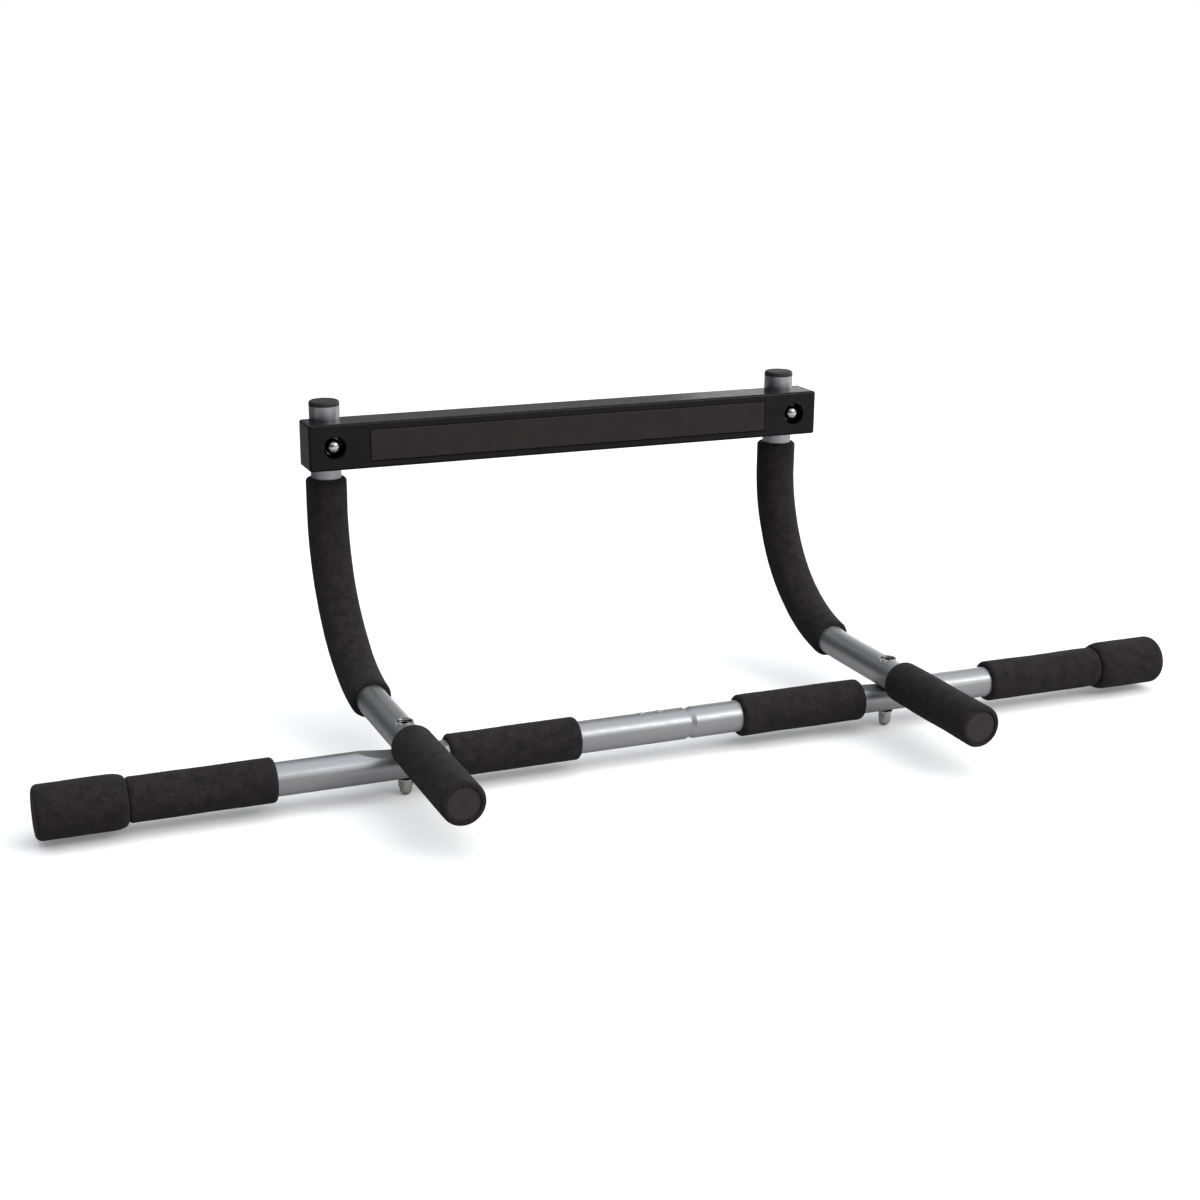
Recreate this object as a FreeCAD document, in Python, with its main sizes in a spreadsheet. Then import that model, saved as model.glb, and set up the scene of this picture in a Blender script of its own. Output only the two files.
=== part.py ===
"""Doorway pull up bar: a two-piece long bar, two bent tubes and a padded crossbar.

Frame: +X along the long bar to the right, +Y from the room towards the crossbar's back,
+Z up.  The origin is the centre of the crossbar pad's front face, the face that bears on
the wall above the door, so the plane y = 0 is the wall.  Units are millimetres.
"""
import FreeCAD, Part
import math
import os
import Sketcher

os.makedirs("parts", exist_ok=True)
doc = FreeCAD.newDocument("pull_up_bar")

# ---------------------------------------------------------------- driving sizes
SIZES = [
    # overall frame
    ("bar_length", 956, "long bar over its end cuffs"),
    ("upright_gap", 415.2, "distance between the axes of the two bent tubes"),
    ("leg_front", 136, "bent tube, from crossing bolt forward to its front end"),
    ("leg_run", 76, "crossing bolt back to the start of the bend"),
    ("bend_radius", 132.5, "bend radius on the tube's axis"),
    ("beam_rise", 52.5, "end of the bend up to the crossbar's middle"),
    ("upright_stub", 10.4, "tube left standing above the crossbar"),
    # tubes
    ("bar_tube_d", 25.4, "long bar tube, outside"),
    ("bar_wall", 1.2, "long bar tube wall"),
    ("leg_tube_d", 25, "bent tube, outside"),
    ("leg_wall", 1.5, "bent tube wall"),
    ("nest", 5.6, "depth of the flat pressed into the long bar under each bent tube"),
    ("press_radius", 130, "lengthwise radius of that pressing"),
    ("press_gap", 0.05, "gap left between bent tube and pressing"),
    # centre joint of the long bar
    ("seam_x", 22, "end of the left half"),
    ("neck_length", 3, "reduced neck left showing at the joint"),
    ("swage_length", 4, "taper from the neck to the full tube"),
    ("spigot_length", 58, "reduced end inside the left half"),
    ("spigot_gap", 0.1, "radial clearance of the spigot"),
    ("screw_first", 21.5, "left half's end to the first joint screw"),
    ("screw_pitch", 15.2, "distance between the joint screws"),
    ("screw_d", 3.2, "joint screw shank"),
    ("screw_head_d", 5.2, "joint screw head"),
    ("screw_head_height", 0.6, "joint screw head height"),
    ("screw_rim", 0.25, "height of its rim below the crown"),
    ("screw_crown_d", 3.4, "flat top of its crown"),
    ("screw_reach", 5, "joint screw shank length"),
    # foam on the long bar
    ("grip_foam", 4.1, "foam wall on the long bar"),
    ("grip_fit", 0.05, "radial gap between foam and tube"),
    ("foam_round", 2.8, "rounding of the foam's ends"),
    ("inner_left_start", 69.5, "centre to the left inner grip"),
    ("inner_left_stop", 32.6, "left upright's axis to the left inner grip"),
    ("inner_right_start", 70, "centre to the right inner grip"),
    ("inner_right_stop", 26.6, "right upright's axis to the right inner grip"),
    ("outer_left_start", 99.4, "left upright's axis to the left outer grip"),
    ("outer_right_start", 95.9, "right upright's axis to the right outer grip"),
    ("cuff_length", 64, "end cuffs"),
    ("cuff_foam", 7.5, "wall of the end cuffs"),
    ("cuff_end", 4, "closed end of the cuffs"),
    ("cuff_shoulder", 3.2, "rounding where a cuff meets its grip"),
    ("cuff_round", 4, "rounding of the closed end"),
    ("grip_joint", 0.3, "gap between an outer grip and its cuff"),
    # foam on the bent tubes
    ("leg_foam", 4.3, "foam wall on the bent tubes"),
    ("front_left_start", 18, "crossing bolt forward to the left front grip"),
    ("front_right_start", 23, "crossing bolt forward to the right front grip"),
    ("curve_left_turn", 5.5, "degrees of bend left bare below the left curve pad"),
    ("curve_right_turn", 8, "degrees of bend left bare below the right curve pad"),
    ("curve_pad_drop", 11.5, "crossbar's underside down to the curve pad"),
    # plugs
    ("plug_wall", 1.6, "wall of every plug's hollow stem"),
    ("plug_fit", 0.1, "radial gap between a stem and its tube"),
    ("plug_stem", 14, "stem length"),
    ("top_plug_rim", 4.2, "height of the top plugs' heads"),
    ("top_plug_round", 2.2, "rounding of the top plugs"),
    ("front_plug_rim", 3, "thickness of the front plugs' heads"),
    ("front_plug_sink", 0.8, "front plug's face behind the foam's end"),
    ("end_plug_rim", 2, "thickness of the bar end plugs' heads"),
    ("plug_round", 0.6, "rounding of the front and bar end plugs"),
    # bolted crossings
    ("cross_bolt_d", 6, "crossing bolt"),
    ("cross_head_d", 10, "its socket head"),
    ("cross_head_height", 6, "its head height"),
    ("cross_hex", 5, "its hexagon socket, across flats"),
    ("bolt_gap", 0.3, "radial clearance of every bolt hole"),
    ("bushing_d", 14, "bushing through the bent tube"),
    ("bushing_head_gap", 0.8, "radial gap between bolt head and bushing"),
    ("bushing_proud", 0.5, "bushing above the top of the tube"),
    ("head_sink", 1.4, "crossing bolt's head below the bushing's rim"),
    ("bushing_fit", 0.05, "radial gap between bushing and tube"),
    ("spacer_d", 10, "spacer inside the long bar"),
    ("spacer_gap", 0.1, "end play of the spacer"),
    ("cross_washer_d", 12.4, "washer under the long bar"),
    ("cross_washer_t", 1.2, "its thickness"),
    ("cross_nut_flats", 10, "crossing's cap nut across flats"),
    ("cross_nut_hex", 5, "height of its hexagon"),
    ("cross_nut_height", 12, "its whole height"),
    ("cross_nut_dome_d", 9.4, "its dome"),
    ("cap_nut_tip", 0.2, "radius of the flat tip of every cap nut"),
    ("cap_nut_cover", 2, "metal over a cap nut's blind hole"),
    ("cap_nut_spare", 1, "blind hole left past the bolt's end"),
    ("nut_corner", 0.2, "width turned off a nut's flats by its corner chamfer"),
    ("thread_gap", 0.05, "radial gap in every nut"),
    # crossbar
    ("beam_overhang", 21.15, "crossbar past each upright's axis"),
    ("beam_height", 38, "crossbar, top to bottom"),
    ("beam_depth", 31, "crossbar moulding, front face to open back"),
    ("upright_behind", 0.6, "moulding's open back to the uprights' axes"),
    ("beam_front", 3.5, "front wall of the moulding"),
    ("beam_wall", 2.5, "its other walls"),
    ("beam_round", 2.2, "rounding of its outer edges"),
    ("notch_gap", 0.2, "radial clearance round the bent tubes"),
    ("rib_t", 2, "ribs inside the moulding"),
    ("rib_count", 9, "number of ribs"),
    ("rib_inset", 37.6, "upright's axis to the outermost rib"),
    ("core_overhang", 12.4, "steel strip past each upright's axis"),
    ("core_gap", 2.5, "moulding's inside to the strip's long edges"),
    ("core_t", 3, "thickness of the strip"),
    ("core_round", 4.5, "rounding of the strip's corners"),
    ("pad_inset", 29.6, "upright's axis to the wall pad's end"),
    ("pad_margin", 6.5, "crossbar's edge to the wall pad"),
    ("pad_proud", 1, "wall pad in front of the moulding"),
    ("pad_pocket", 1.5, "depth of the pocket it is stuck in"),
    ("pad_gap", 0.9, "gap round the pad in its pocket"),
    ("pad_round", 0.6, "rounding of the pad's front edges"),
    ("recess_d", 18.8, "bolt recess in the crossbar"),
    ("boss_floor", 1.5, "floor of the recess"),
    ("beam_bolt_d", 8, "crossbar bolt"),
    ("beam_head_d", 13, "its socket head, behind the bent tube"),
    ("beam_head_height", 8, "its head height"),
    ("beam_hex", 6, "its hexagon socket, across flats"),
    ("saddle_d", 20, "saddle washer under the head, on the bent tube's back"),
    ("saddle_t", 2, "its thickness behind the tube"),
    ("beam_washer_d", 17, "washer in the recess"),
    ("beam_washer_t", 1.2, "its thickness"),
    ("beam_nut_flats", 13, "cap nut in the recess, across flats"),
    ("beam_nut_hex", 4, "height of its hexagon"),
    ("beam_nut_height", 12.6, "its whole height"),
    ("beam_nut_dome_d", 12.6, "its dome"),
    ("head_round", 0.8, "rounding of the bolt heads' rims"),
]

sizes = doc.addObject("Spreadsheet::Sheet", "sizes")
for row, (alias, value, meaning) in enumerate(SIZES, start=1):
    sizes.set(f"A{row}", meaning)
    sizes.set(f"B{row}", str(value))
    sizes.setAlias(f"B{row}", alias)
doc.recompute()


# ------------------------------------------------- places worked from the sizes
BAR_R = "(sizes.bar_tube_d / 2)"
BAR_BORE = f"({BAR_R} - sizes.bar_wall)"
LEG_R = "(sizes.leg_tube_d / 2)"
LEG_BORE = f"({LEG_R} - sizes.leg_wall)"
GRIP_R = f"({BAR_R} + sizes.grip_foam)"
CUFF_R = f"({BAR_R} + sizes.cuff_foam)"
PAD_R = f"({LEG_R} + sizes.leg_foam)"

UPRIGHT_Y = "(sizes.pad_proud + sizes.beam_depth + sizes.upright_behind)"
BOLT_Y = f"({UPRIGHT_Y} - sizes.leg_run - sizes.bend_radius)"
LEG_Z = "(-sizes.bend_radius - sizes.beam_rise)"
STACK = f"({BAR_R} + {LEG_R} - sizes.nest)"
BAR_Z = f"({LEG_Z} - {STACK})"
SIDE_X = "(sizes.upright_gap / 2)"
UPRIGHT_TOP = "(sizes.beam_rise + sizes.beam_height / 2 + sizes.upright_stub)"

BEAM_LENGTH = "(sizes.upright_gap + 2 * sizes.beam_overhang)"
PAD_LENGTH = "(sizes.upright_gap - 2 * sizes.pad_inset)"
PAD_HEIGHT = "(sizes.beam_height - 2 * sizes.pad_margin)"
RIB_FIELD = "(sizes.upright_gap - 2 * sizes.rib_inset)"
INSIDE_HEIGHT = "(sizes.beam_height - 2 * sizes.beam_wall)"
CORE_HEIGHT = f"({INSIDE_HEIGHT} - 2 * sizes.core_gap)"
CORE_Y = f"({UPRIGHT_Y} - {LEG_R} - sizes.core_t)"
BEAM_SEAT = f"({CORE_Y} - sizes.boss_floor - sizes.beam_washer_t)"
SADDLE_BACK = f"({LEG_R} + sizes.saddle_t)"
END_PLUG_X = "(sizes.bar_length / 2 - sizes.cuff_end)"
BAR_END_X = f"({END_PLUG_X} - sizes.end_plug_rim)"
CUFF_X = "(sizes.bar_length / 2 - sizes.cuff_length)"
BUSHING_TOP = f"({LEG_R} + sizes.bushing_proud)"
CROSS_HEAD_TOP = f"({BUSHING_TOP} - sizes.head_sink)"
CROSS_SEAT = f"({CROSS_HEAD_TOP} - sizes.cross_head_height)"
CROSS_NUT_SEAT = f"(-{STACK} - {BAR_R} - sizes.cross_washer_t)"

# Tools that cut right through a tube are twice as long as it is thick.
THROUGH_BAR = "(2 * sizes.bar_tube_d)"
THROUGH_LEG = "(2 * sizes.leg_tube_d)"

NEAR = 1e-3
PARTS = []


# ---------------------------------------------------------------- small helpers
def value(expression):
    """The number that an expression over the sheet has now."""
    return float(sizes.evalExpression(str(expression)))


def bind(obj, **expressions):
    """Tie properties to expressions over the sheet."""
    for name, expression in expressions.items():
        obj.setExpression(name, str(expression))


def place(obj, x=0, y=0, z=0, axis=(0, 0, 1), angle=0):
    """Turn an object about an axis, then move it to a bound position."""
    turn = FreeCAD.Rotation(FreeCAD.Vector(*axis), angle)
    obj.Placement = FreeCAD.Placement(FreeCAD.Vector(), turn)
    for name, expression in (("x", x), ("y", y), ("z", z)):
        obj.setExpression(f"Placement.Base.{name}", str(expression))


def new_body(label, x=0, y=0, z=0, axis=(0, 0, 1), angle=0):
    """An empty body that becomes one sub-part."""
    body = doc.addObject("PartDesign::Body", label)
    body.Label = label
    place(body, x, y, z, axis, angle)
    PARTS.append(body)
    return body


def new_sketch(body, role, offset=0):
    """A sketch on one of the body's own planes, raised by a bound offset."""
    plane = [item for item in body.Origin.OriginFeatures if item.Role == role][0]
    sketch = body.newObject("Sketcher::SketchObject", f"{body.Name}_outline")
    sketch.AttachmentSupport = [(plane, "")]
    sketch.MapMode = "FlatFace"
    sketch.setExpression("AttachmentOffset.Base.z", str(offset))
    return sketch


def hold(sketch, kind, geometry, end, expression):
    """Bind one coordinate or radius of a sketch to the sheet."""
    if end is None:
        constraint = Sketcher.Constraint(kind, geometry, value(expression))
    else:
        constraint = Sketcher.Constraint(kind, geometry, end, value(expression))
    index = sketch.addConstraint(constraint)
    sketch.setExpression(f"Constraints[{index}]", str(expression))


def draw_circle(sketch, radius, x="0", y="0"):
    """A circle whose centre and radius are bound."""
    centre = FreeCAD.Vector(value(x), value(y), 0)
    circle = Part.Circle(centre, FreeCAD.Vector(0, 0, 1), value(radius))
    index = sketch.addGeometry(circle)
    hold(sketch, "DistanceX", index, 3, x)
    hold(sketch, "DistanceY", index, 3, y)
    hold(sketch, "Radius", index, None, radius)


def draw_polygon(sketch, corners):
    """A closed outline of straight edges through bound corners."""
    points = [FreeCAD.Vector(value(x), value(y), 0) for x, y in corners]
    first = sketch.GeometryCount
    count = len(points)
    for index, point in enumerate(points):
        sketch.addGeometry(Part.LineSegment(point, points[(index + 1) % count]))
    for index, (x, y) in enumerate(corners):
        following = first + (index + 1) % count
        sketch.addConstraint(Sketcher.Constraint("Coincident", first + index, 2, following, 1))
        hold(sketch, "DistanceX", first + index, 1, x)
        hold(sketch, "DistanceY", first + index, 1, y)


def rectangle(width, height, x="0", y="0"):
    """Corners of a rectangle about a centre."""
    signs = ((-1, -1), (1, -1), (1, 1), (-1, 1))
    return [(f"{x} + {i} * {width} / 2", f"{y} + {k} * {height} / 2") for i, k in signs]


def hexagon(flats):
    """Corners of a hexagon of a width across its flats."""
    return [(f"{flats} / sqrt(3) * cos({60 * k})", f"{flats} / sqrt(3) * sin({60 * k})")
            for k in range(6)]


def add_feature(body, kind, profile, **expressions):
    """A sketch-based feature, with its lengths bound."""
    feature = body.newObject(f"PartDesign::{kind}", f"{body.Name}_{kind.lower()}")
    feature.Profile = profile
    bind(feature, **expressions)
    return feature


def pad(body, sketch, length, reverse=False):
    """A pad of a bound length."""
    feature = add_feature(body, "Pad", sketch, Length=length)
    feature.Reversed = reverse
    return feature


def cut(body, sketch, length, reverse=False, midplane=False):
    """A pocket of a bound depth, checked to take material away."""
    doc.recompute()
    before = body.Shape.Volume
    feature = add_feature(body, "Pocket", sketch, Length=length)
    feature.Reversed = reverse
    feature.Midplane = midplane
    doc.recompute()
    assert body.Shape.Volume < before - NEAR, f"{feature.Name} cuts nothing"
    return feature


def revolve(body, sketch, axis="V_Axis"):
    """A full turn of a sketch about one of its own axes."""
    feature = add_feature(body, "Revolution", sketch)
    feature.ReferenceAxis = (sketch, [axis])
    feature.Angle = 360
    return feature


def round_edges(body, radius, wanted):
    """Round the edges of the body's last feature that pass a test."""
    doc.recompute()
    base = body.Tip
    names = [f"Edge{i}" for i, edge in enumerate(base.Shape.Edges, start=1) if wanted(edge)]
    assert names, f"{body.Name} has no edge to round"
    feature = body.newObject("PartDesign::Fillet", f"{body.Name}_rounding")
    feature.Base = (base, names)
    bind(feature, Radius=radius)
    doc.recompute()
    return feature


def circle_at(radius, along=None, level=None):
    """A test for a full circular edge of one radius, at one level if that is given."""
    def wanted(edge):
        if not isinstance(edge.Curve, Part.Circle):
            return False
        right_size = abs(edge.Curve.Radius - value(radius)) < NEAR
        if level is None:
            return right_size
        return right_size and abs(edge.Curve.Center[along] - value(level)) < NEAR
    return wanted


def corner_at(height):
    """A test for the straight edges along Y at one height above or below the middle."""
    def wanted(edge):
        box = edge.BoundBox
        along_y = box.XLength + box.ZLength < NEAR
        return along_y and abs(abs(box.Center.z) - value(height)) < NEAR
    return wanted


def cylinder(name, radius, height, x=0, y=0, z=0, axis=(0, 0, 1), angle=0):
    """A bound cylinder used in the long bar's booleans."""
    solid = doc.addObject("Part::Cylinder", name)
    bind(solid, Radius=radius, Height=height)
    place(solid, x, y, z, axis, angle)
    return solid


def less(label, base, tool):
    """Base less one tool."""
    result = doc.addObject("Part::Cut", label)
    result.Base = base
    result.Tool = tool
    return result


def subtract(label, base, tools):
    """Base less several tools."""
    joined = doc.addObject("Part::MultiFuse", f"{label}_tools")
    joined.Shapes = tools
    return less(label, base, joined)


ALONG_X = {"axis": (0, 1, 0), "angle": 90}
ALONG_Y = {"axis": (1, 0, 0), "angle": -90}
SIDES = (("left", -1), ("right", 1))


# -------------------------------------------------------------------- long bar
def press_roll(name, side_x, radius):
    """A large roll across the bar, whose lowest line lies just under the bent tube."""
    lowest = f"({LEG_Z} - {LEG_R} - sizes.press_gap)"
    centre = f"{lowest} + sizes.press_radius"
    front = f"{BOLT_Y} - {THROUGH_BAR} / 2"
    return cylinder(name, radius, THROUGH_BAR, side_x, front, centre, **ALONG_Y)


def pressing(label, bore, sign):
    """What shapes a tube under a bent tube: pressed flat, bore that follows it, bolt hole."""
    side_x = f"{sign} * {SIDE_X}"
    pressed = press_roll(f"{label}_press", side_x, "sizes.press_radius")
    pressed_wall = press_roll(f"{label}_press_wall", side_x, "sizes.press_radius + sizes.bar_wall")
    formed_bore = less(f"{label}_bore_formed", bore, pressed_wall)
    bolt_hole = cylinder(f"{label}_bolt_hole", "sizes.cross_bolt_d / 2 + sizes.bolt_gap",
                         THROUGH_BAR, side_x, BOLT_Y, f"{BAR_Z} - {THROUGH_BAR} / 2")
    return [pressed, formed_bore, bolt_hole]


def screw_holes(label):
    """Holes for the two joint screws, through the top wall."""
    holes = []
    for index in range(2):
        x = f"sizes.seam_x - sizes.screw_first - {index} * sizes.screw_pitch"
        holes.append(cylinder(f"{label}_screw_hole_{index}", "sizes.screw_d / 2 + sizes.thread_gap",
                              THROUGH_BAR, x, BOLT_Y, BAR_Z))
    return holes


def make_bar_left():
    """Left half: a plain tube from its end plug to the centre joint."""
    length = f"({BAR_END_X} + sizes.seam_x)"
    start = f"-{BAR_END_X}"
    outer = cylinder("bar_left_outer", BAR_R, length, start, BOLT_Y, BAR_Z, **ALONG_X)
    bore = cylinder("bar_left_bore", BAR_BORE, length, start, BOLT_Y, BAR_Z, **ALONG_X)
    tools = pressing("bar_left", bore, -1) + screw_holes("bar_left")
    bar = subtract("long_bar_left", outer, tools)
    bar.Label = "long_bar_left"
    PARTS.append(bar)


def swaged_tube(name, inset):
    """The right half's outline, set in by a wall: spigot, taper and full tube."""
    spigot_r = f"({BAR_BORE} - sizes.spigot_gap - {inset})"
    full_r = f"({BAR_R} - {inset})"
    start = "(sizes.seam_x - sizes.spigot_length)"
    taper = "(sizes.seam_x + sizes.neck_length)"
    full = f"({taper} + sizes.swage_length)"
    spigot = cylinder(f"{name}_spigot", spigot_r, f"{taper} - {start}", start, BOLT_Y, BAR_Z, **ALONG_X)
    cone = doc.addObject("Part::Cone", f"{name}_taper")
    bind(cone, Radius1=spigot_r, Radius2=full_r, Height="sizes.swage_length")
    place(cone, taper, BOLT_Y, BAR_Z, **ALONG_X)
    body = cylinder(f"{name}_full", full_r, f"{BAR_END_X} - {full}", full, BOLT_Y, BAR_Z, **ALONG_X)
    joined = doc.addObject("Part::MultiFuse", name)
    joined.Shapes = [spigot, cone, body]
    return joined


def make_bar_right():
    """Right half: its inner end is swaged down to a spigot that slides into the left half."""
    outer = swaged_tube("bar_right_outer", "0")
    bore = swaged_tube("bar_right_bore", "sizes.bar_wall")
    tools = pressing("bar_right", bore, 1) + screw_holes("bar_right")
    bar = subtract("long_bar_right", outer, tools)
    bar.Label = "long_bar_right"
    PARTS.append(bar)


def make_joint_screws():
    """Two small pan head screws that lock the spigot, on top of the bar."""
    for index, name in enumerate(("joint_screw_inner", "joint_screw_outer")):
        x = f"sizes.seam_x - sizes.screw_first - {index} * sizes.screw_pitch"
        body = new_body(name, x, BOLT_Y, f"{BAR_Z} + {BAR_R}")
        profile = new_sketch(body, "XZ_Plane")
        draw_polygon(profile, [("0", "-sizes.screw_reach"), ("sizes.screw_d / 2", "-sizes.screw_reach"),
                               ("sizes.screw_d / 2", "0"), ("sizes.screw_head_d / 2", "0"),
                               ("sizes.screw_head_d / 2", "sizes.screw_rim"),
                               ("sizes.screw_crown_d / 2", "sizes.screw_head_height"),
                               ("0", "sizes.screw_head_height")])
        revolve(body, profile)


# ------------------------------------------------------------------ bent tubes
def bent_path(body, start_turn, front, top):
    """The bent tube's axis in the body's YZ plane: leg, bend and upright."""
    path = new_sketch(body, "YZ_Plane")
    centre = FreeCAD.Vector(value("sizes.leg_run"), value("sizes.bend_radius"), 0)
    normal = FreeCAD.Vector(0, 0, 1)
    circle = Part.Circle(centre, normal, value("sizes.bend_radius"))
    turn = value(start_turn)
    low = FreeCAD.Rotation(normal, turn).multVec(FreeCAD.Vector(0, -centre.y, 0)) + centre
    high = centre + FreeCAD.Vector(centre.y, 0, 0)
    rise = value(top)
    arc = path.addGeometry(Part.ArcOfCircle(circle, math.radians(turn - 90), 0))
    upright = path.addGeometry(Part.LineSegment(high, high + FreeCAD.Vector(0, rise, 0)))
    path.addConstraint(Sketcher.Constraint("Coincident", arc, 2, upright, 1))
    path.addConstraint(Sketcher.Constraint("Vertical", upright))
    hold(path, "DistanceX", arc, 3, "sizes.leg_run")
    hold(path, "DistanceY", arc, 3, "sizes.bend_radius")
    hold(path, "Radius", arc, None, "sizes.bend_radius")
    hold(path, "DistanceX", arc, 1, f"sizes.leg_run + sizes.bend_radius * sin({start_turn})")
    hold(path, "DistanceY", arc, 2, "sizes.bend_radius")
    hold(path, "DistanceY", upright, 2, f"sizes.bend_radius + {top}")
    if front is not None:
        leg = path.addGeometry(Part.LineSegment(FreeCAD.Vector(-value(front), 0, 0), low))
        path.addConstraint(Sketcher.Constraint("Coincident", leg, 2, arc, 1))
        path.addConstraint(Sketcher.Constraint("Horizontal", leg))
        hold(path, "DistanceX", leg, 1, f"-{front}")
    return path


def make_leg_tube(name, sign):
    """One bent tube: front handle, crossing, quarter bend and upright."""
    body = new_body(name, f"{sign} * {SIDE_X}", BOLT_Y, LEG_Z)
    path = bent_path(body, "0", "sizes.leg_front", UPRIGHT_TOP)
    section = new_sketch(body, "XZ_Plane", "sizes.leg_front")
    draw_circle(section, LEG_R)
    draw_circle(section, LEG_BORE)
    pipe = body.newObject("PartDesign::AdditivePipe", f"{name}_pipe")
    pipe.Profile = section
    pipe.Spine = path
    doc.recompute()
    top_hole = new_sketch(body, "XY_Plane")
    draw_circle(top_hole, "sizes.bushing_d / 2 + sizes.bushing_fit")
    cut(body, top_hole, THROUGH_LEG, reverse=True)
    bolt_hole = new_sketch(body, "XY_Plane")
    draw_circle(bolt_hole, "sizes.cross_bolt_d / 2 + sizes.bolt_gap")
    cut(body, bolt_hole, THROUGH_LEG)
    beam_hole = new_sketch(body, "XZ_Plane")
    draw_circle(beam_hole, "sizes.beam_bolt_d / 2 + sizes.bolt_gap",
                y="sizes.bend_radius + sizes.beam_rise")
    cut(body, beam_hole, f"sizes.leg_run + sizes.bend_radius + {THROUGH_LEG}")


def make_curve_pad(side, sign):
    """Foam over the bend and the upright, up to just below the crossbar."""
    body = new_body(f"curve_pad_{side}", f"{sign} * {SIDE_X}", BOLT_Y, LEG_Z)
    top = "(sizes.beam_rise - sizes.beam_height / 2 - sizes.curve_pad_drop)"
    path = bent_path(body, f"sizes.curve_{side}_turn", None, top)
    section = new_sketch(body, "XY_Plane", f"sizes.bend_radius + {top}")
    for radius in (PAD_R, f"{LEG_R} + sizes.grip_fit"):
        draw_circle(section, radius, y="sizes.leg_run + sizes.bend_radius")
    pipe = body.newObject("PartDesign::AdditivePipe", f"{body.Name}_pipe")
    pipe.Profile = section
    pipe.Spine = path
    round_edges(body, "sizes.foam_round", circle_at(PAD_R))


# ------------------------------------------------------------- foam and plugs
def make_sleeve(name, start, length, tube_r, foam_r):
    """A straight foam sleeve along X with rounded ends."""
    body = new_body(name, start, BOLT_Y, BAR_Z)
    ring = new_sketch(body, "YZ_Plane")
    draw_circle(ring, foam_r)
    draw_circle(ring, f"{tube_r} + sizes.grip_fit")
    pad(body, ring, length)
    round_edges(body, "sizes.foam_round", circle_at(foam_r))


def make_bar_grips():
    """Inner and outer grips on both halves of the long bar."""
    for side, sign in SIDES:
        inner = (f"sizes.inner_{side}_start", f"({SIDE_X} - sizes.inner_{side}_stop)")
        outer = (f"({SIDE_X} + sizes.outer_{side}_start)", f"({CUFF_X} - sizes.grip_joint)")
        for name, (near, far) in (("inner", inner), ("outer", outer)):
            start = near if sign > 0 else f"-{far}"
            make_sleeve(f"{name}_grip_{side}", start, f"{far} - {near}", BAR_R, GRIP_R)


def make_end_cuff(name, sign):
    """A thicker closed cuff pushed over the bar's end."""
    turn = {"axis": (0, 0, 1), "angle": 0 if sign > 0 else 180}
    body = new_body(name, f"{sign} * {CUFF_X}", BOLT_Y, BAR_Z, **turn)
    bore = f"({BAR_R} + sizes.grip_fit)"
    floor = "(sizes.cuff_length - sizes.cuff_end)"
    profile = new_sketch(body, "XY_Plane")
    draw_polygon(profile, [("0", bore), ("0", CUFF_R), ("sizes.cuff_length", CUFF_R),
                           ("sizes.cuff_length", "0"), (floor, "0"), (floor, bore)])
    revolve(body, profile, "H_Axis")
    round_edges(body, "sizes.cuff_round", circle_at(CUFF_R, 0, "sizes.cuff_length"))
    round_edges(body, "sizes.cuff_shoulder", circle_at(CUFF_R, 0, "0"))


def make_front_grip(side, sign):
    """The straight sleeve on a bent tube's front handle."""
    start = f"sizes.front_{side}_start"
    body = new_body(f"front_grip_{side}", f"{sign} * {SIDE_X}", f"{BOLT_Y} - {start}", LEG_Z)
    ring = new_sketch(body, "XZ_Plane")
    draw_circle(ring, PAD_R)
    draw_circle(ring, f"{LEG_R} + sizes.grip_fit")
    pad(body, ring, f"sizes.leg_front + sizes.front_plug_rim + sizes.front_plug_sink - {start}")
    round_edges(body, "sizes.foam_round", circle_at(PAD_R))


def make_plug(name, tube_r, bore_r, rim, rounding, x, y, z, axis, angle):
    """A moulded plug: a rim over the tube's end and a hollow stem inside it."""
    body = new_body(name, x, y, z, axis, angle)
    stem_r = f"({bore_r} - sizes.plug_fit)"
    hollow_r = f"({stem_r} - sizes.plug_wall)"
    profile = new_sketch(body, "XZ_Plane")
    draw_polygon(profile, [("0", "0"), (hollow_r, "0"), (hollow_r, "-sizes.plug_stem"),
                           (stem_r, "-sizes.plug_stem"), (stem_r, "0"), (tube_r, "0"),
                           (tube_r, rim), ("0", rim)])
    revolve(body, profile)
    round_edges(body, rounding, circle_at(tube_r, 2, rim))


def make_plugs():
    """Plugs in both ends of the bent tubes and in both ends of the long bar."""
    top_z = f"{LEG_Z} + sizes.bend_radius + {UPRIGHT_TOP}"
    for side, sign in SIDES:
        x = f"{sign} * {SIDE_X}"
        make_plug(f"top_plug_{side}", LEG_R, LEG_BORE, "sizes.top_plug_rim", "sizes.top_plug_round",
                  x, UPRIGHT_Y, top_z, (0, 0, 1), 0)
        make_plug(f"front_plug_{side}", LEG_R, LEG_BORE, "sizes.front_plug_rim", "sizes.plug_round",
                  x, f"{BOLT_Y} - sizes.leg_front", LEG_Z, (1, 0, 0), 90)
        make_plug(f"bar_end_plug_{side}", BAR_R, BAR_BORE, "sizes.end_plug_rim", "sizes.plug_round",
                  f"{sign} * {BAR_END_X}", BOLT_Y, BAR_Z, (0, 1, 0), sign * 90)


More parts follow.
